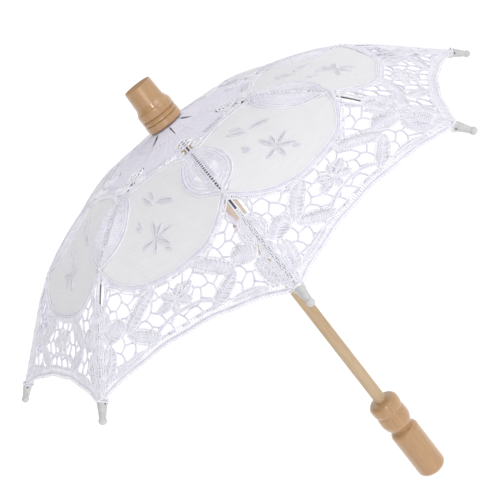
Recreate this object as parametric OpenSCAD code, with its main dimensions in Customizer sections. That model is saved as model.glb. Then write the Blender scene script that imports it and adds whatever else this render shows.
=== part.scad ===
// Small lace parasol: turned wooden stick, eight steel ribs and stretchers, lace canopy.
// Millimetres. +Z runs up the stick to the finial; the origin is the middle of the grip.

/* [Stick] */
// Diameter of the wooden stick
stick_d = 9; // [8.6:0.1:9.2]
// Length of the turned handle
handle_len = 70; // [69:0.5:72]
// Diameter of the grip cylinder at the foot of the handle
grip_d = 22.1; // [20:0.1:24]
// Length of the straight part of the grip
grip_len = 34; // [33:0.5:35]
// Height of the finial above the crown patch
finial_len = 30.8; // [29:0.2:36]
// Diameter of the finial at its foot
finial_d = 26; // [24:0.2:28]

/* [Frame] */
// Height of the rib hinges above the middle of the grip
notch_z = 297.5; // [292:0.5:300]
// Distance of the rib and stretcher hinges from the stick's axis
hinge_r = 7.2; // [7.2:0.1:7.6]
// Distance of the rib tips from the stick's axis when open
tip_r = 190; // [184:1:196]
// Slope of the inner, straight part of a rib
inner_slope = 7; // [6:0.5:8]
// Slope of the outer, straight part of a rib
outer_slope = 41.5; // [39:0.5:43]
// Radius of the bend between the two
bend_r = 150; // [145:1:155]
// Distance from the axis at which the bend starts
bend_start = 62; // [58:1:64]
// Distance from the axis at which a stretcher meets its rib
meet_r = 122; // [118:1:124]
// Diameter of the rib wire
rib_d = 2; // [1.6:0.1:2.2]
// Diameter of the stretcher bar
stretcher_d = 1.8; // [1.5:0.1:2]
// Diameter of the ball on a rib tip
tip_ball_d = 4.9; // [4.4:0.1:5.4]

/* [Canopy] */
// Thickness of the lace cloth
cloth_t = 0.8; // [0.6:0.1:1]
// Gap between neighbouring lengths of cloth, and between cloth and ribs
cloth_gap = 0.3; // [0.2:0.05:0.4]
// Distance from the axis at which the cloth reaches a rib tip
corner_r = 182.4; // [180:0.4:182.4]
// Distance from the axis of the rim halfway between two ribs, measured along a rib
rim_r = 173.5; // [170:0.5:177]

/* [Hidden] */
$fn = 64;
RIBS = 8;

// Running fits
slide_gap = 0.1;
glue_gap = 0.05;
stick_r = stick_d / 2;
big = 400;

// Angle between two ribs, and the flattening of the cloth halfway between them
step = 360 / RIBS;
flat = cos(step / 2);

// Handle, measured up and down from the middle of the grip
grip_r = grip_d / 2;
foot_round = 4.5;
handle_foot = -grip_len / 2 - foot_round;
handle_top = handle_foot + handle_len;
handle_bore = 23.5;

// Finial and the patch below it
patch_z = notch_z + 4;
patch_t = 0.6;
patch_skirt_r = 23;
patch_drop = 3.1;
finial_z = patch_z + patch_t;
finial_top = finial_z + finial_len;
finial_r = finial_d / 2;
finial_bore = 16;
end_gap = 0.3;
stick_foot = handle_top - handle_bore + end_gap;
stick_head = finial_z + finial_bore - end_gap;

// Hinge eyes on the ring wires
wire_r = 0.5;
eye_bore = 0.58;
eye_r = 1.3;
eye_w = 1.6;
slot_w = 2.3;
slot_r = hinge_r - eye_r - 0.2;
crown_r = hinge_r + 2;
groove_gap = 0.15;
notch_foot = notch_z - 5;

// Rib curve: an inner straight, an arc and an outer straight, in the plane of the rib
rib_r = rib_d / 2;
rib_neck_r = rib_r * 0.75;
rib_lap = 1;
rib_step = 0.02;
neck_len = 5;
neck_lap = 1;
ferrule_depth = 4.5;
end_play = 0.1;
inner_len = (bend_start - hinge_r) / cos(inner_slope);
inner_end_z = notch_z - (bend_start - hinge_r) * tan(inner_slope);
bend_end = bend_start + bend_r * (sin(outer_slope) - sin(inner_slope));
bend_end_z = inner_end_z - bend_r * (cos(inner_slope) - cos(outer_slope));
tip_z = bend_end_z - (tip_r - bend_end) * tan(outer_slope);
outer_len = (tip_r - bend_end) / cos(outer_slope);

// Point where a stretcher is riveted, on a tab below the rib
tab_drop = 2.6;
tab_t = 1.2;
tab_r = 1.4;
meet_slope = asin(sin(inner_slope) + (meet_r - bend_start) / bend_r);
meet_z = inner_end_z - bend_r * (cos(inner_slope) - cos(meet_slope));
pivot_r = meet_r - tab_drop * sin(meet_slope);
pivot_z = meet_z - tab_drop * cos(meet_slope);
rivet_r = 0.6;
rivet_head_r = 1.1;
rivet_head_t = 0.5;

// The stretcher is as long as the rib from hinge to rivet, so the runner moves straight
stretcher_len = norm([pivot_r - hinge_r, notch_z - pivot_z]);
runner_z = 2 * pivot_z - notch_z;
stretcher_rise = atan((pivot_z - runner_z) / (pivot_r - hinge_r));
fork_len = 4.6;
fork_gap = tab_t + 0.3;
ear_t = 0.8;
ear_r = 1.3;

// Runner: a tube with a slotted crown at its top and a flange at its foot
runner_top = runner_z + 3.4;
runner_len = 26;
runner_foot = runner_top - runner_len;
runner_tube_r = 6.4;
runner_crown_len = 8;
runner_flange_len = 3;
runner_flange_w = 0.9;

// Wire stop just above the open runner
stop_r = 0.75;
stop_len = 12.4;
stop_z = runner_top + 1.2;

// Catch below the open runner
catch_t = 1.2;
catch_reach = 1.7;
catch_top = runner_foot - 0.3;
catch_len = 15;
catch_side_gap = 0.1;
catch_low_gap = 0.6;
catch_high_gap = 0.3;

// Rib tips
ferrule_len = 11;
ferrule_r = 3.2;
ferrule_neck_r = 1.8;
sewing_hole_r = 0.6;
sewing_hole_x = 1.6 - ferrule_len;

// Cloth
cloth_start = 12.5;
cloth_low = rib_r + cloth_gap;

// Points on an arc about [x, y], from angle a to angle b in n steps
function arc(x, y, r, a, b, n) = [
    for (i = [0:n]) [x + r * cos(a + (b - a) * i / n), y + r * sin(a + (b - a) * i / n)]
];

// The rib curve moved up by a distance square to itself, from radius a to radius b
function rib_curve(up, a, b) = concat(
    [[a + up * sin(inner_slope),
      notch_z - (a - hinge_r) * tan(inner_slope) + up * cos(inner_slope)]],
    arc(bend_start - bend_r * sin(inner_slope), inner_end_z - bend_r * cos(inner_slope),
        bend_r + up, 90 - inner_slope, 90 - outer_slope, 9),
    [[b + up * sin(outer_slope),
      bend_end_z - (b - bend_end) * tan(outer_slope) + up * cos(outer_slope)]]
);

function flattened(points) = [for (p = points) [p[0] * flat, p[1]]];
function reversed(points) = [for (i = [len(points) - 1:-1:0]) points[i]];

// Stands a shape drawn in the XY plane up in the plane of a rib
module stand_up() {
    rotate([90, 0, 0]) children();
}

// A round bar along +X
module bar(r, len) {
    rotate([0, 90, 0]) cylinder(r = r, h = len);
}

// A round pin along Y, centred
module pin(r, len) {
    rotate([90, 0, 0]) cylinder(r = r, h = len, center = true);
}

// Repeats a shape at each rib
module each_rib() {
    for (i = [0:RIBS - 1]) rotate([0, 0, i * step]) children();
}

module shaft() {
    color("burlywood")
    difference() {
        translate([0, 0, stick_foot]) cylinder(r = stick_r, h = stick_head - stick_foot);
        rotate([0, 0, step / 2])
            translate([-catch_reach, -catch_t / 2 - catch_side_gap,
                       catch_top - catch_len - catch_low_gap])
                cube([big, catch_t + 2 * catch_side_gap,
                      catch_len + catch_low_gap + catch_high_gap]);
        translate([0, 0, stop_z]) rotate([0, 0, step / 2]) pin(stop_r + glue_gap, big);
    }
}

// Outline of the handle, from its foot up the outside: grip, neck and two stacked beads
neck_round = 4.2;
bead_r = grip_r + 0.45;
lower_bead_r = 14.8;
lower_bead_z = grip_len / 2 + 14.5;
upper_bead_z = handle_top - 4.2;
handle_outline = concat(
    [[0, handle_foot]],
    arc(grip_r - foot_round, -grip_len / 2, foot_round, -90, 0, 6),
    arc(grip_r - neck_round, grip_len / 2, neck_round, 0, 74, 6),
    arc(bead_r - lower_bead_r, lower_bead_z, lower_bead_r, -42, 0, 8),
    [[bead_r - 0.2, lower_bead_z + 4], [bead_r - 0.6, lower_bead_z + 6.1]],
    [[bead_r - 0.8, lower_bead_z + 6.6], [bead_r - 0.4, lower_bead_z + 7.4]],
    [[bead_r + 0.1, lower_bead_z + 9.4]],
    arc(bead_r - 4.1, upper_bead_z, 4.2, 0, 70, 7),
    [[stick_r + 1.4, handle_top], [0, handle_top]]
);

module handle() {
    color("tan")
    difference() {
        rotate_extrude() polygon(handle_outline);
        translate([0, 0, handle_top - handle_bore])
            cylinder(r = stick_r + glue_gap, h = handle_bore + 1);
    }
}

// Outline of the finial, from its foot up the outside, with two cut grooves
finial_outline = concat(
    [[0, finial_z], [finial_r - 0.6, finial_z], [finial_r, finial_z + 0.8]],
    [[finial_r - 0.1, finial_z + 4.6], [finial_r - 0.8, finial_z + 5.1]],
    [[finial_r - 0.2, finial_z + 5.6], [finial_r - 0.5, finial_z + 6.8]],
    [[finial_r - 0.2, finial_z + 8], [finial_r - 0.9, finial_z + 8.5]],
    [[finial_r - 0.3, finial_z + 9]],
    arc(finial_r - 3.2, finial_z + 12.6, 2.9, 0, 52, 4),
    [[finial_r - 2.5, finial_top - 13.2]],
    [[finial_r - 3, finial_top - 0.5], [finial_r - 3.5, finial_top], [0, finial_top]]
);

module finial() {
    color("peru")
    difference() {
        rotate_extrude() polygon(finial_outline);
        translate([0, 0, finial_z - 1])
            cylinder(r = stick_r + glue_gap, h = finial_bore + 1);
    }
}

module top_notch() {
    notch_slot_rise = 1.8;
    color("burlywood")
    difference() {
        translate([0, 0, notch_foot]) cylinder(r = crown_r, h = patch_z - notch_foot);
        translate([0, 0, notch_foot - 1])
            cylinder(r = stick_r + glue_gap, h = patch_z - notch_foot + 2);
        each_rib() translate([slot_r, -slot_w / 2, notch_foot - 1])
            cube([crown_r, slot_w, notch_z + notch_slot_rise - notch_foot + 1]);
        wire_groove(notch_z);
    }
}

// Groove around a wooden crown for its ring wire
module wire_groove(z) {
    groove_r = wire_r + groove_gap;
    translate([0, 0, z - groove_r])
        difference() {
            cylinder(r = crown_r + 1, h = 2 * groove_r);
            translate([0, 0, -1]) cylinder(r = hinge_r - groove_r, h = 2 * groove_r + 2);
        }
}

module ring_wire(z) {
    color("dimgray") translate([0, 0, z]) rotate_extrude() translate([hinge_r, 0]) circle(wire_r);
}

module notch_wire() {
    ring_wire(notch_z);
}

module runner_wire() {
    ring_wire(runner_z);
}

// Wire stop that keeps the runner from passing its open place
module stop_pin() {
    color("dimgray")
    translate([0, 0, stop_z]) rotate([0, 0, step / 2]) pin(stop_r, stop_len);
}

// Round patch of lace that covers the inner ends of the cloth under the finial
module crown_patch() {
    edge_r = crown_r + 0.4;
    color("lavender")
    rotate_extrude() polygon([
        [stick_r + glue_gap, patch_z],
        [edge_r, patch_z],
        [patch_skirt_r, patch_z - patch_drop],
        [patch_skirt_r, patch_z - patch_drop + patch_t],
        [edge_r, finial_z],
        [stick_r + glue_gap, finial_z]
    ]);
}

module runner() {
    runner_slot_drop = 1.7;
    color("tan")
    difference() {
        union() {
            translate([0, 0, runner_foot]) cylinder(r = runner_tube_r, h = runner_len);
            translate([0, 0, runner_top - runner_crown_len])
                cylinder(r = crown_r, h = runner_crown_len);
            translate([0, 0, runner_foot])
                cylinder(r = runner_tube_r + runner_flange_w, h = runner_flange_len);
        }
        translate([0, 0, runner_foot - 1]) cylinder(r = stick_r + slide_gap, h = runner_len + 2);
        each_rib() translate([slot_r, -slot_w / 2, runner_z - runner_slot_drop])
            cube([crown_r, slot_w, runner_len]);
        wire_groove(runner_z);
    }
}

// Bent steel catch in a slot of the stick: its shoulder carries the open runner
module catch_spring() {
    low = catch_top - catch_len;
    back = stick_r - 1.2;
    color("silver")
    rotate([0, 0, step / 2]) translate([0, catch_t / 2, 0]) stand_up() linear_extrude(catch_t)
        polygon([
            [0.6, low],
            [stick_r - 0.3, low + 0.6],
            [stick_r + catch_reach, catch_top - 1.6],
            [stick_r + catch_reach, catch_top],
            [back, catch_top],
            [back, catch_top - 5],
            [1.6, low + 2.4],
            [0.6, low + 2.4]
        ]);
}

// Steel wire along the rib curve, with a round eye at the hinge and a tab for the rivet
module rib_wire() {
    difference() {
        union() {
            translate([hinge_r, 0, notch_z]) rotate([0, inner_slope, 0]) {
                bar(rib_neck_r, neck_len);
                translate([neck_len - neck_lap, 0, 0])
                    bar(rib_r, inner_len + rib_lap - neck_len + neck_lap);
                pin(eye_r, eye_w);
            }
            translate([bend_start - bend_r * sin(inner_slope), 0,
                       inner_end_z - bend_r * cos(inner_slope)])
                stand_up() rotate([0, 0, 90 - outer_slope])
                    rotate_extrude(angle = outer_slope - inner_slope)
                        translate([bend_r, 0]) circle(rib_r - rib_step);
            translate([bend_end, 0, bend_end_z]) rotate([0, outer_slope, 0])
                translate([-rib_lap, 0, 0])
                    bar(rib_r, outer_len + rib_lap - ferrule_depth - end_play);
            translate([meet_r, 0, meet_z]) rotate([0, meet_slope, 0]) {
                translate([-tab_r, -tab_t / 2, -tab_drop]) cube([2 * tab_r, tab_t, tab_drop]);
                translate([0, 0, -tab_drop]) pin(tab_r, tab_t);
            }
        }
        translate([hinge_r, 0, notch_z]) pin(eye_bore, 2 * eye_w);
        translate([pivot_r, 0, pivot_z]) pin(rivet_r + 0.05, 2 * tab_t);
    }
}

module rib(i) {
    color("slategray") rotate([0, 0, (i - 1) * step]) rib_wire();
}

// Moulded tip: a tapered ferrule that the corner of the cloth is sewn to, and a ball
module rib_tip(i) {
    color("gainsboro")
    rotate([0, 0, (i - 1) * step]) translate([tip_r, 0, tip_z]) rotate([0, outer_slope, 0])
        difference() {
            union() {
                rotate([0, -90, 0]) cylinder(r1 = ferrule_neck_r, r2 = ferrule_r, h = ferrule_len);
                sphere(r = tip_ball_d / 2);
            }
            translate([-ferrule_len - 1, 0, 0])
                bar(rib_r + glue_gap, ferrule_len + 1 - ferrule_depth + end_play);
            translate([sewing_hole_x, 0, 0]) pin(sewing_hole_r, 4 * ferrule_r);
        }
}

// Steel bar from the runner to its rib, forked at the rib
module stretcher(i) {
    ear_x = stretcher_len - fork_len;
    fork_slot = 2.8;
    color("slategray")
    rotate([0, 0, (i - 1) * step]) translate([hinge_r, 0, runner_z])
        rotate([0, -stretcher_rise, 0])
            difference() {
                union() {
                    bar(stretcher_d * 0.42, neck_len);
                    translate([neck_len - neck_lap, 0, 0])
                        bar(stretcher_d / 2, ear_x - neck_len + neck_lap);
                    pin(eye_r, eye_w);
                    translate([ear_x - neck_lap, -fork_gap / 2 - ear_t, -ear_r])
                        cube([fork_len + neck_lap, fork_gap + 2 * ear_t, 2 * ear_r]);
                    translate([stretcher_len, 0, 0]) pin(ear_r, fork_gap + 2 * ear_t);
                }
                translate([stretcher_len - fork_slot, -fork_gap / 2, -2 * ear_r])
                    cube([2 * fork_slot, fork_gap, 4 * ear_r]);
                pin(eye_bore, 2 * eye_w);
                translate([stretcher_len, 0, 0]) pin(rivet_r + 0.02, 4 * ear_r);
            }
}

// Rivet that joins a stretcher's fork to its rib's tab
module rivet(i) {
    head_y = fork_gap / 2 + ear_t;
    color("silver")
    rotate([0, 0, (i - 1) * step]) translate([pivot_r, 0, pivot_z]) {
        pin(rivet_r, 2 * head_y);
        for (side = [-1, 1])
            translate([0, side * (head_y + rivet_head_t / 2), 0]) pin(rivet_head_r, rivet_head_t);
    }
}

// Cloth between two ribs: the rib curve drawn straight across, cut to a wedge and a curved rim
module panel(i) {
    cloth_end = corner_r + 4;
    rim_x = rim_r * flat;
    corner_x = corner_r * flat;
    corner_y = corner_r * sin(step / 2);
    rim_sag = corner_x - rim_x;
    rim_curve_r = (corner_y * corner_y + rim_sag * rim_sag) / (2 * rim_sag);
    edge_gap = cloth_gap / 2;
    color("lavender")
    rotate([0, 0, (i - 0.5) * step])
        difference() {
            translate([0, corner_y + 10, 0]) stand_up() linear_extrude(2 * corner_y + 20)
                polygon(flattened(concat(
                    rib_curve(cloth_low, cloth_start, cloth_end),
                    reversed(rib_curve(cloth_low + cloth_t, cloth_start, cloth_end))
                )));
            for (side = [-1, 1])
                rotate([0, 0, side * step / 2])
                    translate([-big, side < 0 ? -big + edge_gap : -edge_gap, 0])
                        cube([2 * big, big, big]);
            translate([rim_x + rim_curve_r, 0, 0]) cylinder(r = rim_curve_r, h = big, $fn = 180);
        }
}

shaft();
handle();
finial();
top_notch();
notch_wire();
stop_pin();
crown_patch();
runner();
runner_wire();
catch_spring();
for (i = [1:RIBS]) {
    rib(i);
    rib_tip(i);
    stretcher(i);
    rivet(i);
    panel(i);
}
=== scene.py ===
"""Looks of the lace parasol: cotton and lace canopy, turned wood, steel frame, light and camera."""

import math

import bpy
import numpy as np
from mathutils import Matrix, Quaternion, Vector


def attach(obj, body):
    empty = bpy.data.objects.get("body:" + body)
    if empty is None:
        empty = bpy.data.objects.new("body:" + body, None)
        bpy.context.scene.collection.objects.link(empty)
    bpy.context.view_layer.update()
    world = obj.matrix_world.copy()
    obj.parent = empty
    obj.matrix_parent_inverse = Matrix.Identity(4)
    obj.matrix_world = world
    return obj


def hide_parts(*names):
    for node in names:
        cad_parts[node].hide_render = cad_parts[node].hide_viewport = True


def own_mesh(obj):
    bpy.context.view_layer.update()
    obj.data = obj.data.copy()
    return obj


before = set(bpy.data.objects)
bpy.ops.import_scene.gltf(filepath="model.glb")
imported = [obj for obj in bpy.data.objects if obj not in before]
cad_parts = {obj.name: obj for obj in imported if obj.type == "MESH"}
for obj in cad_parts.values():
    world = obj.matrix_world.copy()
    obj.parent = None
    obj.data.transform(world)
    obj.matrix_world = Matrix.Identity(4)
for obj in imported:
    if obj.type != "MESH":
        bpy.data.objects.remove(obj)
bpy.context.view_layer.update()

# ---------------------------------------------------------------- the frame, in millimetres
# The driving sizes of the CAD part: the ribs' hinge circle, their two straight stretches and the bend
MM = 0.001
RIBS = 8
STEP = math.tau / RIBS
# A rib's distance from the stick times these: along the middle of the panel, and out to its side
FLAT = math.cos(STEP / 2)
SIDE = math.sin(STEP / 2)
HINGE_R = 7.2
NOTCH_Z = 297.5
INNER_SLOPE = math.radians(7)
OUTER_SLOPE = math.radians(41.5)
BEND_R = 150.0
BEND_START = 62.0
# How far the cloth lies above the ribs' axes, and its thickness
CLOTH_LIFT = 1.7
CLOTH_THICK = 0.3
# How far the lace wavers off its drawn lines
WAVER = 0.35

BEND_END = BEND_START + BEND_R * (math.sin(OUTER_SLOPE) - math.sin(INNER_SLOPE))
INNER_END_Z = NOTCH_Z - (BEND_START - HINGE_R) * math.tan(INNER_SLOPE)
BEND_END_Z = INNER_END_Z - BEND_R * (math.cos(INNER_SLOPE) - math.cos(OUTER_SLOPE))


def rib_height(r):
    """Height of a rib's axis at distance r from the stick."""
    r = np.asarray(r, float)
    lean = np.arcsin(np.clip(math.sin(INNER_SLOPE) + (r - BEND_START) / BEND_R, 0, 0.9))
    inner = NOTCH_Z - (r - HINGE_R) * math.tan(INNER_SLOPE)
    bent = INNER_END_Z - BEND_R * (math.cos(INNER_SLOPE) - np.cos(lean))
    outer = BEND_END_Z - (r - BEND_END) * math.tan(OUTER_SLOPE)
    return np.where(r < BEND_START, inner, np.where(r < BEND_END, bent, outer))


# Distance down the middle of a panel (v) against distance from the stick (r)
TABLE_END = 200
TABLE_R = np.arange(HINGE_R, TABLE_END, 0.25)
TABLE_Z = rib_height(TABLE_R)
TABLE_V = np.concatenate([[0], np.cumsum(np.hypot(np.diff(TABLE_R) * FLAT, np.diff(TABLE_Z)))])


def radius_at(v):
    """Distance from the stick at distance v down the middle of a panel."""
    return np.interp(v, TABLE_V, TABLE_R)


def rib_line(v):
    """Distance from the middle of a panel to its rib."""
    return radius_at(v) * SIDE


def turned(points, angle):
    """Points turned about the stick."""
    c, s = math.cos(angle), math.sin(angle)
    x, y, z = points.T
    return np.stack([x * c - y * s, x * s + y * c, z], 1)


def on_panel(number):
    """Places flat points (across, down the panel, above the cloth) on one panel."""
    angle = (number - 0.5) * STEP

    def place(p):
        v = p[:, 1] + WAVER * np.sin(0.19 * p[:, 0] + number)
        u = p[:, 0] + WAVER * np.sin(0.17 * p[:, 1] + 2 * number)
        r = radius_at(v)
        z = rib_height(r)
        slope = (rib_height(r + 0.5) - rib_height(r - 0.5)) / FLAT
        size = np.hypot(1, slope)
        lift = p[:, 2] + CLOTH_LIFT
        local = np.stack([r * FLAT - lift * slope / size, u, z + lift / size], 1)
        return turned(local, angle)

    return place


def on_rib(number):
    """Places flat points (across, along the rib, above the cloth) on the ridge over one rib."""
    angle = (number - 1) * STEP

    def place(p):
        side = np.where(p[:, 0] < 0, -1.0, 1.0)
        away = np.abs(p[:, 0])
        r0 = radius_at(p[:, 1])
        lean = np.arctan(rib_line(p[:, 1] + 0.5) - rib_line(p[:, 1] - 0.5))
        u = -side * (r0 * SIDE - away * np.cos(lean))
        r = radius_at(p[:, 1] + away * np.sin(lean))
        turn = side * STEP / 2
        x = r * FLAT * np.cos(turn) - u * np.sin(turn)
        y = r * FLAT * np.sin(turn) + u * np.cos(turn)
        slope = rib_height(r0 + 0.5) - rib_height(r0 - 0.5)
        size = np.hypot(1, slope)
        lift = p[:, 2] + CLOTH_LIFT
        local = np.stack([x - lift * slope / size, y, rib_height(r) + lift / size], 1)
        return turned(local, angle)

    return place


# ---------------------------------------------------------------- lines and thread work, drawn flat
def curve(points, step=1.3, closed=False):
    """A smooth line through the points, cut into lengths of about step."""
    p = np.array(points, float)
    if closed:
        ends = np.vstack([p[-1:], p, p[:2]])
    else:
        ends = np.vstack([2 * p[:1] - p[1:2], p, 2 * p[-1:] - p[-2:-1]])
    parts = []
    for a, b, c, d in zip(ends, ends[1:], ends[2:], ends[3:]):
        count = max(2, math.ceil(np.linalg.norm(c - b) / step))
        t = np.arange(count)[:, None] / count
        bend = (2 * a - 5 * b + 4 * c - d) * t**2 + (3 * b - a - 3 * c + d) * t**3
        parts.append(b + 0.5 * ((c - a) * t + bend))
    if not closed:
        parts.append(p[-1:])
    return np.vstack(parts)


def along(line, closed=False):
    """Unit direction of a line at each of its points."""
    if closed:
        d = np.roll(line, -1, 0) - np.roll(line, 1, 0)
    else:
        d = np.gradient(line, axis=0)
    return d / np.maximum(np.linalg.norm(d, axis=1, keepdims=True), 1e-9)


def beside(line, distance):
    """The line moved sideways, to its left."""
    d = along(line)
    left = np.stack([-d[:, 1], d[:, 0]], 1)
    return line + left * np.reshape(distance, (-1, 1))


def mirrored(points):
    """A right half and its mirror image as one line. Its last point is on the middle."""
    right = [tuple(p) for p in points]
    return [(-u, v) for u, v in right] + [(u, v) for u, v in reversed(right[:-1])]


def lengths(line):
    """Distance along a line at each of its points."""
    return np.concatenate([[0], np.cumsum(np.linalg.norm(np.diff(line, axis=0), axis=1))])


def straight(start, end, count):
    """A straight line of count points."""
    return np.linspace(start, end, count)


def make_piece(name, points, faces, materials):
    """A smooth piece in metres from points in millimetres."""
    mesh = bpy.data.meshes.new(name)
    mesh.from_pydata((points * MM).tolist(), [], faces)
    mesh.polygons.foreach_set("use_smooth", [True] * len(mesh.polygons))
    for material in materials:
        mesh.materials.append(material)
    mesh.update()
    obj = bpy.data.objects.new(name, mesh)
    bpy.context.scene.collection.objects.link(obj)
    return obj


# Which of a piece's three finishes a face has
THREAD = 0
GROUND = 1
LEAF = 2


class Work:
    """Collects thread work drawn flat in millimetres and turns it into one piece."""

    def __init__(self):
        self.points = []
        self.faces = []
        self.finish = []
        self.count = 0

    def add(self, points, faces, finish):
        self.points.append(np.asarray(points, float))
        self.faces.extend([tuple(i + self.count for i in f) for f in faces])
        self.finish.extend([finish] * len(faces))
        self.count += len(points)

    def sweep(self, rings, closed=False, finish=THREAD):
        """Joins rings of points into a tube: closed on itself, or with closed ends."""
        n, k = rings.shape[:2]
        faces = []
        for i in range(n if closed else n - 1):
            a, b = i * k, (i + 1) % n * k
            faces += [(a + j, a + (j + 1) % k, b + (j + 1) % k, b + j) for j in range(k)]
        if not closed:
            faces += [tuple(range(k - 1, -1, -1)), tuple(range((n - 1) * k, n * k))]
        self.add(rings.reshape(-1, 3), faces, finish)

    def thread(self, line, radius, height=0.0, closed=False, sides=5, up=(0, 0, 1), finish=THREAD):
        """A round thread along a line, which is flat at one height or has heights of its own."""
        line = np.asarray(line, float)
        if line.shape[1] == 2:
            line = np.column_stack([line, np.full(len(line), height)])
        ahead = along(line, closed)
        side = np.cross(ahead, np.array(up, float))
        side /= np.maximum(np.linalg.norm(side, axis=1, keepdims=True), 1e-9)
        top = np.cross(side, ahead)
        turn = (np.arange(sides) / sides * math.tau)[None, :, None]
        ring = side[:, None] * np.cos(turn) + top[:, None] * np.sin(turn)
        self.sweep(line[:, None] + ring * radius, closed, finish)

    def band(self, line, half_width, low, high, finish=GROUND):
        """A thin solid band that follows a line."""
        w = np.broadcast_to(half_width, len(line)).astype(float)
        left = beside(line, w)
        right = beside(line, -w)
        corners = ((left, low), (right, low), (right, high), (left, high))
        rings = np.stack([np.column_stack([p, np.full(len(line), z)]) for p, z in corners], 1)
        self.sweep(rings, finish=finish)

    def zigzag(self, line, half_width, step, radius, height=0.28, lean=0.0, finish=THREAD):
        """One thread laid from side to side of a line. lean moves its middle ahead, as in a leaf."""
        length = lengths(line)
        places = np.arange(0.3, length[-1] - 0.2, step)
        if len(places) < 3:
            return
        w = np.interp(places, length, np.broadcast_to(half_width, len(line)))
        d = along(line)
        middle = np.stack([np.interp(places + lean * w, length, line[:, i]) for i in (0, 1)], 1)
        base = np.stack([np.interp(places, length, line[:, i]) for i in (0, 1)], 1)
        ahead = np.stack([np.interp(places, length, d[:, i]) for i in (0, 1)], 1)
        left = np.stack([-ahead[:, 1], ahead[:, 0]], 1) * w[:, None]
        path = []
        for k in range(len(places)):
            sides = (base[k] + left[k], middle[k], base[k] - left[k])
            path += list(sides if k % 2 == 0 else sides[::-1])
        path = np.array(path)
        height_line = height + 0.1 * np.sin(np.arange(len(path)))
        self.thread(np.column_stack([path, height_line]), radius, sides=4, finish=finish)

    def tape(self, points, half_width, cross=THREAD, ground=GROUND):
        """Woven tape: two edge cords, a narrow ground and a thread laid from side to side."""
        line = curve(points)
        for side in (-1, 1):
            self.thread(beside(line, side * (half_width - 0.4)), radius=0.42, height=0.1)
        self.band(line, half_width * 0.62, low=-0.2, high=0.05, finish=ground)
        self.zigzag(line, half_width - 0.3, step=1.45, radius=0.33, height=0.12, finish=cross)

    def leaf(self, points, half_width, raised=0.0, vein=True, point=0.62):
        """A leaf of close stitches inside a cord. A lower point makes its ends blunter."""
        line = curve(points, 0.9)
        t = np.linspace(0, 1, len(line))
        w = half_width * np.sin(math.pi * np.clip(t, 0.02, 0.98)) ** point
        self.band(line, w * 0.74, low=raised - 0.2, high=raised + 0.05, finish=LEAF)
        outline = np.vstack([beside(line, w), beside(line, -w)[::-1]])
        self.thread(outline, radius=0.45, height=raised + 0.15, closed=True)
        self.zigzag(line, w * 0.95, step=1.45, radius=0.38, height=raised + 0.1, lean=0.4)
        if vein:
            self.thread(line, radius=0.3, height=raised + 0.3)

    def bride(self, *nodes):
        """A wrapped bar of thread between two knots, or through several."""
        line = curve(nodes, 0.8) if len(nodes) > 2 else straight(*nodes, 7)
        wrapped = line + 0.25 * np.sin(np.arange(len(line)) * 1.9)[:, None]
        self.thread(line, radius=0.8, finish=GROUND)
        self.thread(wrapped, radius=0.4, height=0.45, sides=4)

    def picots(self, points, size=0.8, step=2.4):
        """A row of small loops along an edge."""
        line = curve(points, 0.6)
        wave = np.abs(np.sin(lengths(line) * math.pi / step)) ** 0.7 * size
        self.thread(beside(line, -wave), radius=0.3, height=0.1, sides=4)

    def piece(self, name, place, materials, slot_name):
        """The finished piece, placed on the canopy."""
        obj = make_piece(name, place(np.vstack(self.points)), self.faces, materials)
        obj.data.polygons.foreach_set("material_index", self.finish)
        return obj


# How much of a texture's unit a millimetre of cloth takes
UV_PER_MM = 0.01


def cloth(name, grid, place, material):
    """A thin closed cloth from a grid of flat points (rows, columns, 3), with its flat size as UVs."""
    rows, columns = grid.shape[:2]
    top = grid.reshape(-1, 3)
    low = top - np.array([0, 0, CLOTH_THICK])
    n = len(top)
    faces = []
    for i in range(rows - 1):
        for j in range(columns - 1):
            a = i * columns + j
            quad = (a, a + 1, a + columns + 1, a + columns)
            faces.append(quad)
            faces.append(tuple(q + n for q in reversed(quad)))
    rim = list(range(columns))
    rim += [i * columns + columns - 1 for i in range(1, rows)]
    rim += [(rows - 1) * columns + j for j in range(columns - 2, -1, -1)]
    rim += [i * columns for i in range(rows - 2, 0, -1)]
    faces += [(a, a + n, b + n, b) for a, b in zip(rim, rim[1:] + rim[:1])]
    flat_points = np.vstack([top, low])
    obj = make_piece(name, place(flat_points), faces, [material])
    uvs = obj.data.uv_layers.new(name="flat")
    for loop in obj.data.loops:
        u, v = flat_points[loop.vertex_index][:2]
        uvs.data[loop.index].uv = (u * UV_PER_MM, v * UV_PER_MM)
    return obj


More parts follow.
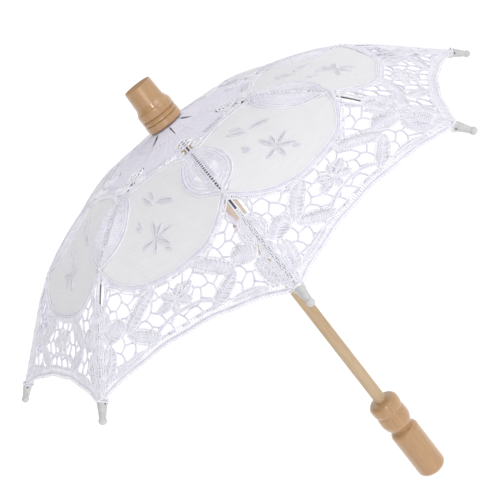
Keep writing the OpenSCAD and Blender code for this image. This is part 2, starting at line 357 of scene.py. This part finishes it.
# ---------------------------------------------------------------- materials
class Nodes:
    """A material and short calls to build its nodes."""

    def __init__(self, name):
        self.material = bpy.data.materials.new(name)
        self.material.use_nodes = True
        self.tree = self.material.node_tree
        self.shader = self.tree.nodes["Principled BSDF"]

    def set(self, **values):
        for key, value in values.items():
            self.shader.inputs[key.replace("_", " ")].default_value = value
        return self

    def new(self, kind, links=(), **values):
        """A node. links is pairs of (input, source socket); values set its own fields."""
        node = self.tree.nodes.new(kind)
        for key, value in values.items():
            setattr(node, key, value)
        for key, source in links:
            if hasattr(source, "is_output"):
                self.tree.links.new(source, node.inputs[key])
            else:
                node.inputs[key].default_value = source
        return node

    def texture(self, kind, stretch, output="Object", scale=1.0, detail=2.0, distortion=0.0, **values):
        """A noise or wave texture, stretched along the axes of the object or of its flat size."""
        place = self.new("ShaderNodeTexCoord").outputs[output]
        mapped = self.new("ShaderNodeMapping", [("Vector", place), ("Scale", stretch)]).outputs[0]
        links = [("Vector", mapped), ("Scale", scale), ("Detail", detail), ("Distortion", distortion)]
        return self.new(f"ShaderNodeTex{kind}", links, **values).outputs["Fac"]

    def ramp(self, source, stops):
        """Colours at places along the source's range."""
        node = self.new("ShaderNodeValToRGB", [("Fac", source)])
        elements = node.color_ramp.elements
        while len(elements) < len(stops):
            elements.new(0.5)
        for element, (at, colour) in zip(elements, stops):
            element.position = at
            element.color = (*colour, 1)
        return node.outputs["Color"]

    def mixed(self, amount, a, b, blend="MIX"):
        """Colour a with an amount of colour b."""
        node = self.new("ShaderNodeMix", data_type="RGBA", blend_type=blend)
        for index, source in ((0, amount), (6, a), (7, b)):
            if hasattr(source, "is_output"):
                self.tree.links.new(source, node.inputs[index])
            else:
                value = source if index == 0 else (*source, 1)
                node.inputs[index].default_value = value
        return node.outputs[2]

    def colour(self, source):
        self.tree.links.new(source, self.shader.inputs["Base Color"])

    def rough(self, source, low, high):
        links = [("Value", source), ("To Min", low), ("To Max", high)]
        node = self.new("ShaderNodeMapRange", links)
        self.tree.links.new(node.outputs[0], self.shader.inputs["Roughness"])

    def bump(self, source, strength, distance):
        links = [("Height", source), ("Strength", strength), ("Distance", distance)]
        node = self.new("ShaderNodeBump", links)
        self.tree.links.new(node.outputs[0], self.shader.inputs["Normal"])


def wood(name, dark, light, coat, roughness):
    """Turned pale wood with grain along the stick, fine pores and lacquer."""
    m = Nodes(name).set(Coat_Weight=coat, Coat_Roughness=0.11)
    grain = m.texture("Noise", (170, 170, 9), detail=5.0, distortion=0.6)
    rings = m.texture("Wave", (60, 24, 3), scale=1.6, detail=3.0, distortion=7.0)
    pores = m.texture("Noise", (1500, 1500, 60))
    base = m.ramp(grain, [(0.3, dark), (0.7, light)])
    ringed = m.mixed(0.18, base, m.ramp(rings, [(0.2, dark), (0.75, light)]))
    speck = m.ramp(pores, [(0.34, (0.62, 0.52, 0.42)), (0.46, (1, 1, 1))])
    m.colour(m.mixed(0.35, ringed, speck, "MULTIPLY"))
    m.rough(pores, roughness - 0.08, roughness + 0.1)
    m.bump(pores, 0.25, 0.0002)
    return m.material


def steel(name, colour, roughness):
    """Drawn wire with a dark oiled film."""
    m = Nodes(name).set(Metallic=0.9)
    film = m.texture("Noise", (500, 500, 500), detail=3.0)
    darker = tuple(c * 0.6 for c in colour)
    m.colour(m.ramp(film, [(0.35, darker), (0.65, colour)]))
    m.rough(film, roughness - 0.1, roughness + 0.15)
    m.bump(film, 0.2, 0.0001)
    return m.material


def moulded(name, dark, light):
    """Moulded plastic of the rib tips, a little cloudy."""
    m = Nodes(name).set(Coat_Weight=0.5, Coat_Roughness=0.1)
    cloud = m.texture("Noise", (260, 260, 260), detail=4.0)
    m.colour(m.ramp(cloud, [(0.3, dark), (0.7, light)]))
    m.rough(cloud, 0.28, 0.48)
    m.bump(cloud, 0.15, 0.0002)
    return m.material


def yarn(name, dark, light, scale=1.0):
    """Cotton thread: soft, twisted, with slightly uneven colour."""
    m = Nodes(name).set(Sheen_Weight=0.25, Sheen_Roughness=0.5)
    uneven = m.texture("Noise", (220, 220, 220), scale=scale, detail=3.0)
    twist = m.texture("Wave", (900, 900, 1300), scale=scale, detail=1.0, distortion=3.0)
    base = m.ramp(uneven, [(0.32, dark), (0.66, light)])
    m.colour(m.mixed(0.35, base, m.ramp(twist, [(0.1, dark), (0.8, light)])))
    m.rough(uneven, 0.75, 0.92)
    m.bump(twist, 0.5, 0.0002)
    return m.material


def woven(name, dark, light, threads):
    """Plain woven cotton: crossed threads, slubs and soft shading, laid along the panel."""
    m = Nodes(name).set(Sheen_Weight=0.2, Sheen_Roughness=0.5)
    warp, weft = [
        m.texture("Wave", (threads, threads, 1), "UV", detail=1.0, distortion=0.6, bands_direction=axis)
        for axis in "XY"
    ]
    slub = m.texture("Noise", (9, 60, 1), "UV", detail=4.0)
    weave = m.new("ShaderNodeMath", [(0, warp), (1, weft)], operation="MAXIMUM").outputs[0]
    ground = m.ramp(slub, [(0.3, dark), (0.7, light)])
    m.colour(m.mixed(0.3, ground, m.ramp(weave, [(0.3, dark), (0.9, light)])))
    m.rough(slub, 0.8, 0.95)
    m.bump(weave, 0.35, 0.00015)
    return m.material


WOOD = wood("turned_wood", (0.385, 0.206, 0.081), (0.447, 0.256, 0.11), 1.0, 0.3)
# Darker wood for the finial's flat top: partly real end grain, partly painted shade
END_GRAIN_AND_SHADE = wood("end_grain_and_shade", (0.33, 0.18, 0.075), (0.42, 0.245, 0.11), 0.0, 0.8)
STICK_WOOD = wood("stick_wood", (0.45, 0.305, 0.172), (0.53, 0.395, 0.25), 0.3, 0.45)
# Top notch and runner under the canopy: lighter, pinker wood, painted light that stands in for light
# coming through the cloth
INNER_WOOD_PAINTED_LIGHT = wood("inner_wood", (0.62, 0.48, 0.39), (0.76, 0.63, 0.54), 0.1, 0.6)
FRAME_STEEL = steel("frame_steel", (0.22, 0.22, 0.24), 0.42)
PIN_STEEL = steel("pin_steel", (0.5, 0.5, 0.52), 0.3)
TIP_PLASTIC = moulded("tip_plastic", (0.42, 0.415, 0.415), (0.54, 0.535, 0.535))
LACE = yarn("lace_thread", (0.81, 0.8, 0.88), (0.93, 0.925, 0.975))
LACE_GROUND = yarn("lace_ground", (0.66, 0.645, 0.755), (0.82, 0.81, 0.895))
LEAF_GROUND = yarn("leaf_ground", (0.79, 0.78, 0.87), (0.9, 0.89, 0.955))
LACE_FINISHES = (LACE, LACE_GROUND, LEAF_GROUND)
SATIN = yarn("satin_stitch", (0.74, 0.735, 0.81), (0.84, 0.835, 0.89), 1.6)
SATIN_GROUND = yarn("satin_ground", (0.69, 0.685, 0.765), (0.76, 0.755, 0.82), 1.6)
SATIN_FINISHES = (SATIN, SATIN_GROUND, SATIN_GROUND)
COTTON = woven("cotton", (0.7, 0.7, 0.725), (0.75, 0.75, 0.77), 90)
CROWN = woven("crown_cloth", (0.68, 0.665, 0.77), (0.78, 0.765, 0.86), 80)

FINISHES = {
    "shaft": STICK_WOOD,
    "handle": WOOD,
    "finial": WOOD,
    "top_notch": INNER_WOOD_PAINTED_LIGHT,
    "runner": INNER_WOOD_PAINTED_LIGHT,
    "stop_pin": PIN_STEEL,
    "catch_spring": PIN_STEEL,
    "rivet": PIN_STEEL,
    "rib_tip": TIP_PLASTIC,
}
for node_name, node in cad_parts.items():
    kind = node_name.rstrip("0123456789").rstrip("_")
    node.data.materials.clear()
    node.data.materials.append(FINISHES.get(kind, FRAME_STEEL))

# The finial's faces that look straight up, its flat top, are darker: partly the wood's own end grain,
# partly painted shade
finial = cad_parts["finial"].data
finial.materials.append(END_GRAIN_AND_SHADE)
for face in finial.polygons:
    face.material_index = 1 if face.normal.z > 0.95 else 0

# ---------------------------------------------------------------- the pattern, drawn flat in millimetres
# Cotton inset: half of its lower edge, from the rib to the middle, and its first and last rows
INSET_EDGE = [(47, 108), (44.5, 113), (40, 120.5), (33, 127.5), (25, 133), (14, 136.2), (0, 136.8)]
INSET_TOP = 57.0
INSET_END = 136.7
# Length that its sag runs over, and how far it runs under the medallions
INSET_LENGTH = 80.0
COTTON_LAP = 2.2
# Egg-shaped medallion over each rib: half-width at each place along the rib
EGG = [(59, 0.6), (60.2, 5), (63.5, 9.2), (68, 12), (73.5, 14.2), (79, 15.8), (85, 16.5)]
EGG += [(91, 15.9), (97, 13.7), (102.5, 9.6), (106.5, 5), (109.5, 0.6)]
EGG_MIDDLE = 84.0
# Round rosette over each rib, nearer the stick
ROSETTE_AT = 41.0
ROSETTE_R = 6.6
ROSETTE_BARS = 8
# Plain cloth near the stick
CROWN_START = 3.4
CROWN_END = 49.0
# Gathered petals of the patch, over that cloth
PETAL_START = CROWN_START
PETAL_END = 18.0
# Rim: how far down it lies in the middle, and how much lower at the ribs
RIM_V = 175.2
RIM_DROP = 11.2
RIM_HALF = 69.6


def rim(u):
    """How far down the panel the rim lies."""
    return RIM_V + RIM_DROP * (np.asarray(u, float) / RIM_HALF) ** 2


def egg_half(w):
    """Half-width of the medallion at distance w along the rib."""
    places = np.array(EGG)
    return np.interp(w, places[:, 0], places[:, 1], left=0, right=0)


def egg_outline(share, side):
    """One side of the medallion's outline, drawn in towards its middle and kept off the rib."""
    return [(side * max(t * share, 1.2), EGG_MIDDLE + (w - EGG_MIDDLE) * share) for w, t in EGG]


def cotton_half(v):
    """Half-width of the cotton inset: up to the medallions, then inside its curved lower edge."""
    lean = math.atan(SIDE * FLAT)
    beside_egg = rib_line(v) - np.maximum(egg_half(v - 3) - COTTON_LAP, 0.6) / math.cos(lean)
    edge = curve(INSET_EDGE, 1.0)
    edge_u = np.interp(v, edge[:, 1], edge[:, 0], left=RIM_HALF, right=0)
    return np.minimum(beside_egg, edge_u)


def cotton_relief(u, v, number):
    """How far the cotton lies above or below the straight line between its ribs: sag and ripples."""
    share = np.clip(u / np.maximum(cotton_half(v), 1), -1, 1)
    sag = -0.5 * (1 - share**2) * np.sin(np.clip((v - INSET_TOP) / INSET_LENGTH, 0, 1) * math.pi)
    ripple = 0.2 * np.sin(0.21 * u + 0.9 * number) * np.sin(0.13 * v + number)
    ripple += 0.1 * np.sin(0.47 * u - 0.31 * v + 2.1 * number)
    return sag + ripple - 0.1


def on_cotton(number):
    """Places flat points on the cotton of one panel."""
    place = on_panel(number)

    def lowered(p):
        relief = cotton_relief(p[:, 0], p[:, 1], number)
        return place(p + np.stack([0 * relief, 0 * relief, relief], 1))

    return lowered


def cotton_grid(number):
    """The cotton inset as a flat grid, with closer rows at its round end."""
    rows = np.concatenate([np.linspace(INSET_TOP, 130, 44), np.linspace(131, INSET_END, 9)])
    across = np.linspace(-1, 1, 37)
    half = cotton_half(rows)
    u = half[:, None] * across[None, :]
    v = np.repeat(rows[:, None], len(across), 1)
    return np.stack([u, v, cotton_relief(u, v, number)], 2)


def seam_gap(v, rib):
    """Half of the gap over a rib: a slit by the finial on every second rib, then the rosette."""
    away = np.sqrt(np.clip(ROSETTE_R**2 - (v - ROSETTE_AT) ** 2, 0, None)) * 0.95
    slit = (1.5 if rib % 2 == 0 else 0) * np.exp(-(((v - 9) / 4.5) ** 4))
    overlap = 0.05 + 0.3 * np.exp(-v / 12)
    return np.maximum(away, np.where(v > ROSETTE_AT, 0.9, slit - overlap))


def between_seams(number, rows, columns):
    """A flat grid from seam to seam: share of the way across, and the points' places."""
    across = np.linspace(-1, 1, columns)
    edge = rib_line(rows)
    left = edge - seam_gap(rows, number)
    right = edge - seam_gap(rows, number % RIBS + 1)
    u = np.where(across < 0, left[:, None], right[:, None]) * across[None, :]
    v = np.repeat(rows[:, None], columns, 1)
    return across[None, :], u, v


def crown_grid(number):
    """The plain cloth near the stick, in soft pleats that fade out at the seams."""
    across, u, v = between_seams(number, np.linspace(CROWN_START, CROWN_END, 42), 57)
    gather = 0.2 * np.clip((50 - v) / 30, 0.1, 1)
    pleats = gather * np.sin(across * 21 + 0.08 * v + number)
    pleats += 0.12 * np.sin(0.5 * u + 0.11 * v + 2 * number)
    return np.stack([u, v, pleats * (1 - across**4) - 0.15], 2)


def petal_grid(number):
    """One gathered petal of the patch: up against the finial, and down on the cloth at its end."""
    across, u, v = between_seams(number, np.linspace(PETAL_START, PETAL_END, 20), 49)
    share = (v - PETAL_START) / (PETAL_END - PETAL_START)
    gathers = 0.2 * share * np.sin(across * 22 + number) * (1 - across**4)
    return np.stack([u, v, 2.1 * (1 - share) ** 2 + 0.4 - 0.35 * share**4 + gathers], 2)


# Embroidery: middle and tips of the star, and strokes with their half-widths
STAR = (-3, 111.5)
STAR_TIPS = [(-13, 114), (-3.5, 99), (2, 103.5), (9, 109.5), (5.5, 120), (-5.5, 121)]
STROKES = [
    ([(-8.5, 75), (-6, 80), (-2, 86)], 1.2),
    ([(-4, 73), (-2, 77), (-0.5, 81)], 0.9),
    ([(-14, 94), (-11.5, 99)], 0.7),
    ([(-16, 97), (-13, 101)], 0.7),
    ([(2, 121), (5, 124)], 0.7),
]


def sprig(work):
    """Raised embroidery on the cotton: a six-petalled star, a leaf and small strokes."""
    for tip in STAR_TIPS:
        start = (STAR[0] + 0.12 * (tip[0] - STAR[0]), STAR[1] + 0.12 * (tip[1] - STAR[1]))
        work.leaf([start, tip], 1.25, raised=0.05, vein=False)
    work.leaf([(1.5, 85.5), (6.5, 88.5), (12.8, 92.8)], 1.8, raised=0.05)
    for points, half_width in STROKES:
        work.leaf(points, half_width, raised=0.05, vein=False)


def inset_trim(work):
    """Tape round the lower edge of the cotton, and the arch of tapes above it."""
    edge = curve(mirrored(INSET_EDGE), 1.5)
    work.thread(beside(edge, -0.2), radius=0.4, height=0.1)
    work.band(beside(edge, 1.2)[1:-1], 1.25, low=-0.2, high=0.15)
    work.thread(beside(edge, 2.5)[2:-2], radius=0.42, height=0.1)
    work.thread(beside(edge, 4.9)[3:-3], radius=0.45)
    work.zigzag(beside(edge, 3.7)[3:-3], 1.2, step=1.25, radius=0.34, height=0.05)
    work.tape([(-23, 62), (-12, 57.8), (0, 56.4), (12, 57.8), (23, 62)], 1.9)
    work.tape([(-17.6, 49.3), (0, 49.7), (17.6, 49.3)], 0.9, ground=LEAF)
    for side in (-1, 1):
        outer = curve([(side * 19, 52.6), (side * 12, 52.4), (side * 7, 52.4)], 1.5)
        work.zigzag(outer, 2.6, step=1.7, radius=0.42)
    inner = curve([(-8, 52.4), (0, 52.3), (8, 52.4)], 1.5)
    work.zigzag(inner, 2.6, step=1.3, radius=0.45, finish=GROUND)


# Leaves of the border's right half: points along the middle, and half-width
BORDER_LEAVES = [
    ([(14, 141), (26, 147), (39, 156.5)], 4.9),
    ([(38.5, 157.5), (30, 163.5), (19, 170.5)], 4.6),
    ([(38.5, 151), (46, 151), (55, 155.5)], 6.4),
    ([(52, 160), (55.5, 169), (60.5, 178.5)], 3.8),
    ([(31, 172), (42, 173.8), (54, 177.5)], 2.2),
]
# Flower in the middle of the border: its middle and the tips of its petals
FLOWER = (-2.5, 153.5)
PETAL_TIPS = [(-16, 156), (-10.5, 147), (3, 146), (11.5, 149.5), (8, 159), (-5, 161.5)]
# Net between the leaves: length of a hole's side, how uneven it is, its start, rows and columns
NET_SIDE = 5.5
NET_UNEVEN = 1.3
NET_START = 110.0
NET_ROWS = 10
NET_COLUMNS = 8
# Where the net ends: under the inset's tape, beside the rib, above the rim and at the panel's corners
NET_UNDER_TAPE = 4.0
NET_OFF_RIB = 5.5
NET_ABOVE_RIM = 5.0
NET_HALF = 66.0


def net_top(u):
    """Where the net starts: under the inset's tape, or further out beside the rib."""
    edge = np.array(INSET_EDGE)[::-1]
    under_inset = float(np.interp(abs(u), edge[:, 0], edge[:, 1])) + NET_UNDER_TAPE
    return max(under_inset, float(np.interp((abs(u) + NET_OFF_RIB) / SIDE, TABLE_R, TABLE_V)))


def net_end(u):
    """Where the net ends, above the rim."""
    return float(rim(u)) - NET_ABOVE_RIM


def net_corner(row, column, corner):
    """One corner of a six-sided hole, moved a little off its regular place."""
    turn = corner * math.pi / 3
    u = NET_SIDE * (math.sqrt(3) * (column + row % 2 / 2) + math.sin(turn))
    v = NET_START + NET_SIDE * (1.5 * row + math.cos(turn))
    return u + NET_UNEVEN * math.sin(0.41 * v + 0.1 * u), v + NET_UNEVEN * math.sin(0.37 * u)


def net(work):
    """Bars of thread round uneven six-sided holes."""
    for row in range(NET_ROWS):
        for column in range(-NET_COLUMNS, NET_COLUMNS + 1):
            corners = [net_corner(row, column, corner) for corner in range(4)]
            if any(net_top(u) < v < net_end(u) for u, v in corners):
                inside = [(min(max(u, -NET_HALF), NET_HALF), v) for u, v in corners]
                inside = [(u, min(max(v, net_top(u)), net_end(u))) for u, v in inside]
                work.thread(curve(inside, 1.1), radius=0.66, height=-0.45, finish=GROUND)


def border(work):
    """Open lace between the inset's tape and the scalloped rim."""
    net(work)
    for points, width in BORDER_LEAVES:
        work.leaf(points, width, point=0.4)
        work.leaf([(-u, v) for u, v in points], width, point=0.4)
    for tip in PETAL_TIPS:
        bend = ((tip[0] + FLOWER[0]) * 0.5 + 0.6, (tip[1] + FLOWER[1]) * 0.5)
        work.leaf([FLOWER, bend, tip], 3.1)
    work.tape([(-21, 167.5), (-11, 163), (0, 161.5), (11, 163), (21, 167.5)], 1.3)
    across = np.linspace(-66.5, 66.5, 25)
    edge = curve([(u, float(rim(u))) for u in across])
    work.band(beside(edge, -1.1), 0.95, low=-0.2, high=0.1)
    for inside, radius in ((0.5, 0.5), (2.1, 0.42), (5.9, 0.5)):
        work.thread(beside(edge, -inside), radius, height=0.1)
    work.zigzag(beside(edge, -4), 1.9, step=1.7, radius=0.42, height=0.05)
    work.picots([(u, float(rim(u)) + 0.1) for u in across[::-1]])


# Leaves beside each rib on its right: points along the middle, and half-width
RIB_LEAVES = [
    ([(1.5, 131), (4, 134.5), (5.6, 139.5)], 2.0),
    ([(5.8, 135), (7.6, 141), (6, 147)], 1.9),
    ([(1.6, 138), (3.6, 142.5), (2, 147.5)], 1.6),
    ([(2, 146), (5, 149), (7.2, 154)], 2.0),
    ([(1.6, 151), (3, 156), (2, 161.5)], 1.5),
    ([(3.2, 156), (6, 160), (4.6, 166)], 1.9),
    ([(1.6, 163), (3.6, 167), (3.2, 173)], 1.7),
    ([(1.4, 172), (3.2, 177), (1.8, 185)], 1.7),
]
# Bars between them: the knots of each
RIB_BRIDES = [
    ((2.4, 113.5), (5.4, 117), (6.4, 125), (5.2, 133)),
    ((6, 147), (8.6, 152)),
    ((5, 166), (8, 169), (5.5, 174)),
]


def ridge(work):
    """Seam tapes on both sides of a rib, caught together across it, with leaves to the tip."""
    for side in (-1, 1):
        tape = straight((side * 2.15, 56), (side * 2.15, 111), 23)
        work.band(tape, 1.15, low=-0.3, high=-0.05)
        work.thread(straight((side * 1.15, 50), (side * 1.15, 112), 23), radius=0.33, height=-0.15)
        work.thread([(side * 1.2, 111), (side * 1.1, 121), (side * 1.3, 131)], radius=0.5)
        lower_tape = straight((side * 2.2, 131), (side * 2.2, 185), 23)
        work.band(lower_tape, 0.7, low=-0.45, high=-0.2, finish=LEAF)
        work.thread(straight((side * 1.5, 130), (side * 1.3, 186), 23), radius=0.36, height=-0.3)
        for points, half_width in RIB_LEAVES:
            work.leaf([(side * t, w) for t, w in points], half_width)
        for nodes in RIB_BRIDES:
            work.bride(*[(side * t, w) for t, w in nodes])
    for start, end in ((56.5, 61), (106, 111)):
        work.band(straight((0, start), (0, end), 5), 1.6, low=-0.1, high=0.1)
    for w in np.arange(62.5, 106, 2.45):
        work.thread([(-1.5, w), (0, w + 0.4), (1.5, w)], radius=0.33)
    for w in (113, 116, 124.5):
        work.thread([(-1.8, w), (0, w + 0.6), (1.8, w)], radius=0.36, height=0.1)
    seam = straight((0, 125), (0, 186), 44)
    wavy = seam + 0.6 * np.sin(np.arange(len(seam)) * 1.3)[:, None] * (1, 0)
    work.zigzag(seam, 1.5, step=1.2, radius=0.46, height=0.0)
    work.thread(wavy, radius=0.34, height=0.1, finish=LEAF)


# Half rings of the medallion: share of its outline and half-width of the tape, then the bars between
EGG_TAPES = ((0.93, 1.35), (0.79, 1.1), (0.66, 1.0), (0.54, 0.9))
EGG_BARS = (0.86, 0.73, 0.6)
# Share of the outline that its small net fills
EGG_NET = 0.54


def medallion(work):
    """Egg of half rings of tape on each side of the rib, joined by close bars round a small net."""
    for side in (-1, 1):
        for share, half_width in EGG_TAPES:
            work.tape(egg_outline(share, side), half_width, cross=GROUND)
        for share in EGG_BARS:
            ring = curve(egg_outline(share, side), 1.9)
            for p, n in zip(ring, beside(ring, 1) - ring):
                work.thread([p - 0.9 * n, p + 0.9 * n], radius=0.36, finish=GROUND)
        for t in (3.4, 4.4, 5.5, 6.7):
            reach = 12.5 - 1.2 * (t - 3.4)
            ends = ((side * t, EGG_MIDDLE - reach), (side * t, EGG_MIDDLE + reach))
            work.thread(straight(*ends, 9), radius=0.4)
        for w in np.arange(71, 98, 1.9):
            half = 0.52 * float(egg_half(EGG_MIDDLE + (w - EGG_MIDDLE) / EGG_NET))
            bar = straight((side * 1.5, w), (side * half, w), 5)
            work.thread(bar, radius=0.28, height=0.12, finish=GROUND)


def rosette(work):
    """Round openwork rosette over a rib: two rings, and bars that leave a hole over the rib."""
    spokes = [(k + 0.5) * math.tau / ROSETTE_BARS for k in range(ROSETTE_BARS)]
    for ring_r, radius in ((ROSETTE_R - 0.5, 0.62), (2.1, 0.5)):
        ring = [(ring_r * math.cos(a), ROSETTE_AT + ring_r * math.sin(a)) for a in spokes]
        work.thread(curve(ring, 0.9, closed=True), radius, height=0.1, closed=True)
    for a in spokes:
        spoke = [(r * math.cos(a), ROSETTE_AT + r * math.sin(a)) for r in (2, 6)]
        work.thread(spoke, radius=0.42, height=0.05)
    for side in (-1, 1):
        work.thread(straight((side * 1.1, 48), (side * 1.1, 57), 5), radius=0.42, height=0.15)
        work.leaf([(side * 3, 53.6), (side * 6.5, 53), (side * 10, 52.4)], 1.7, vein=False)


# Turns of thread round a rib tip: radius, and place along the rib
BINDING_R = 3.45
BINDING_AT = (184.3, 185, 185.7)


def tip_binding(work):
    """Thread that ties the corner of the lace through the hole in the tip."""
    a = np.linspace(0, math.tau, 21)[:-1]
    for k, w in enumerate(BINDING_AT):
        lift = BINDING_R * np.sin(a) - CLOTH_LIFT
        ring = np.column_stack([BINDING_R * np.cos(a), w + 0.4 * np.sin(a + k), lift])
        work.thread(ring, radius=0.3, closed=True, up=(0, 1, 0))


def thread_work(name, drawings, place, finishes=LACE_FINISHES):
    """One piece of thread work from one or more drawings."""
    work = Work()
    for draw in drawings:
        draw(work)
    return work.piece(name, place, finishes, "lace")


# ---------------------------------------------------------------- the canopy
# Share of its width that each cloth is meant to keep when the canopy is folded; the loop below pairs
# these with the pieces but does not use them
KEEP_COTTON = 0.43
KEEP_CROWN = 0.54
KEEP_PETAL = 0.7
KEEP_BORDER = 0.24
for i in range(1, RIBS + 1):
    place = on_panel(i)

    inset_flat = cotton_grid(i)
    crown_flat = crown_grid(i)
    petal_flat = petal_grid(i)
    inset = cloth(f"cotton_{i}", inset_flat, place, COTTON)
    crown = cloth(f"crown_cloth_{i}", crown_flat, place, CROWN)
    stitches = thread_work(f"embroidery_{i}", [sprig], on_cotton(i), SATIN_FINISHES)
    petal = cloth(f"crown_petal_{i}", petal_flat, place, CROWN)
    trim = thread_work(f"inset_tape_{i}", [inset_trim], place)
    edge = thread_work(f"border_lace_{i}", [border], place)
    for piece, keep in (
        (inset, KEEP_COTTON),
        (stitches, KEEP_COTTON),
        (trim, KEEP_COTTON),
        (crown, KEEP_CROWN),
        (petal, KEEP_PETAL),
        (edge, KEEP_BORDER),
    ):
        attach(piece, f"panel_body_{i}")
        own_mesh(piece)
    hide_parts(f"panel_{i}")

    over_rib = thread_work(f"rib_lace_{i}", [ridge, medallion, rosette, tip_binding], on_rib(i))
    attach(over_rib, f"rib_body_{i}")

# Gathered ring of cloth that the petals hang from, held under the finial: its inner and outer radius,
# the height of its inner edge, how much lower its outer edge is, and its number of folds
GATHER_IN = 9.4
GATHER_OUT = 12.4
GATHER_Z = 301.6
GATHER_DROP = 1.6
GATHER_FOLDS = 56


def gather_place(p):
    """Places flat points (angle, distance from the stick, height) on the ring."""
    share = (p[:, 1] - GATHER_IN) / (GATHER_OUT - GATHER_IN)
    height = GATHER_Z - GATHER_DROP * share + p[:, 2]
    return np.stack([p[:, 1] * np.cos(p[:, 0]), p[:, 1] * np.sin(p[:, 0]), height], 1)


around = np.linspace(0, math.tau, 241)
outward = np.linspace(0, 1, 6)
gather_r = np.repeat(GATHER_IN + outward[:, None] * (GATHER_OUT - GATHER_IN), len(around), 1)
gather_h = 0.2 * outward[:, None] * np.sin(around[None, :] * GATHER_FOLDS)
gather_grid = np.stack([np.repeat(around[None, :], len(outward), 0), gather_r, gather_h], 2)
gather = cloth("crown_gather", gather_grid, gather_place, CROWN)
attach(gather, "root")
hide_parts("crown_patch")

# ---------------------------------------------------------------- floor, light, camera
# In metres from here on. The floor lies far below, so that no shadow falls near the parasol.
FLOOR_Z = -0.5
FLOOR_SIZE = 60
bpy.ops.mesh.primitive_plane_add(size=FLOOR_SIZE, location=(0, 0, FLOOR_Z))
floor = bpy.context.object
floor.name = "floor"
paper = Nodes("floor_paper").set(Roughness=0.9, Emission_Color=(1, 1, 1, 1), Emission_Strength=0.3)
paper_grain = paper.texture("Noise", (3, 3, 3))
paper.colour(paper.ramp(paper_grain, [(0.3, (0.93, 0.93, 0.93)), (0.7, (0.95, 0.95, 0.95))]))
floor.data.materials.append(paper.material)

world = bpy.data.worlds.new("studio")
bpy.context.scene.world = world
world.use_nodes = True
sky = world.node_tree
direction = sky.nodes.new("ShaderNodeTexCoord")
split = sky.nodes.new("ShaderNodeSeparateXYZ")
sky.links.new(direction.outputs["Generated"], split.inputs[0])


def sky_ramp(axis, start, end, low=0, high=1):
    """A value that runs from low to high as the direction's axis runs from start to end."""
    node = sky.nodes.new("ShaderNodeMapRange")
    for key, value in (("From Min", start), ("From Max", end), ("To Min", low), ("To Max", high)):
        node.inputs[key].default_value = value
    sky.links.new(split.outputs[axis], node.inputs["Value"])
    return node.outputs[0]


# Even white near the horizon, and brighter on one side higher up
overhead = sky.nodes.new("ShaderNodeMix")
sky.links.new(sky_ramp("Z", start=0.3, end=0.5), overhead.inputs[0])
overhead.inputs[2].default_value = 1.05
sky.links.new(sky_ramp("X", start=-1, end=1, low=1.3, high=0.25), overhead.inputs[3])
sky.links.new(overhead.outputs[0], sky.nodes["Background"].inputs["Strength"])
sky.nodes["Background"].inputs["Color"].default_value = (1, 1, 1, 1)
bpy.context.scene.view_settings.view_transform = "Standard"


# Middle of the parasol, which the lights are aimed at
MIDDLE = (0, 0, 0.2)


def area_light(name, place, size, energy):
    """A square light aimed at the middle of the parasol."""
    light = bpy.data.lights.new(name, "AREA")
    light.size = size
    light.energy = energy
    obj = bpy.data.objects.new(name, light)
    obj.location = place
    obj.rotation_euler = (Vector(MIDDLE) - Vector(place)).to_track_quat("-Z", "Y").to_euler()
    bpy.context.scene.collection.objects.link(obj)


area_light("key", (-0.9, 1.1, 1.3), size=0.8, energy=3.6)
area_light("front", (0.1, 1.6, 0.5), size=0.8, energy=3.4)
area_light("spark", (0.04, 0.95, 0.97), size=0.14, energy=1.0)

CAMERA_AT = (0.0094, 0.7773, 0.4357)
CAMERA_TURN = math.radians(-90.12)
CAMERA_DOWN = math.radians(17.02)
CAMERA_ROLL = math.radians(-38.02)
CAMERA_LENS = 85.8
SENSOR_WIDTH = 36
level = math.cos(CAMERA_DOWN)
ahead = Vector((math.cos(CAMERA_TURN) * level, math.sin(CAMERA_TURN) * level, -math.sin(CAMERA_DOWN)))
camera = bpy.data.objects.new("camera", bpy.data.cameras.new("camera"))
camera.data.sensor_width = SENSOR_WIDTH
camera.data.lens = CAMERA_LENS
camera.location = CAMERA_AT
camera.rotation_mode = "QUATERNION"
camera.rotation_quaternion = ahead.to_track_quat("-Z", "Y") @ Quaternion((0, 0, 1), CAMERA_ROLL)
bpy.context.scene.collection.objects.link(camera)
bpy.context.scene.camera = camera
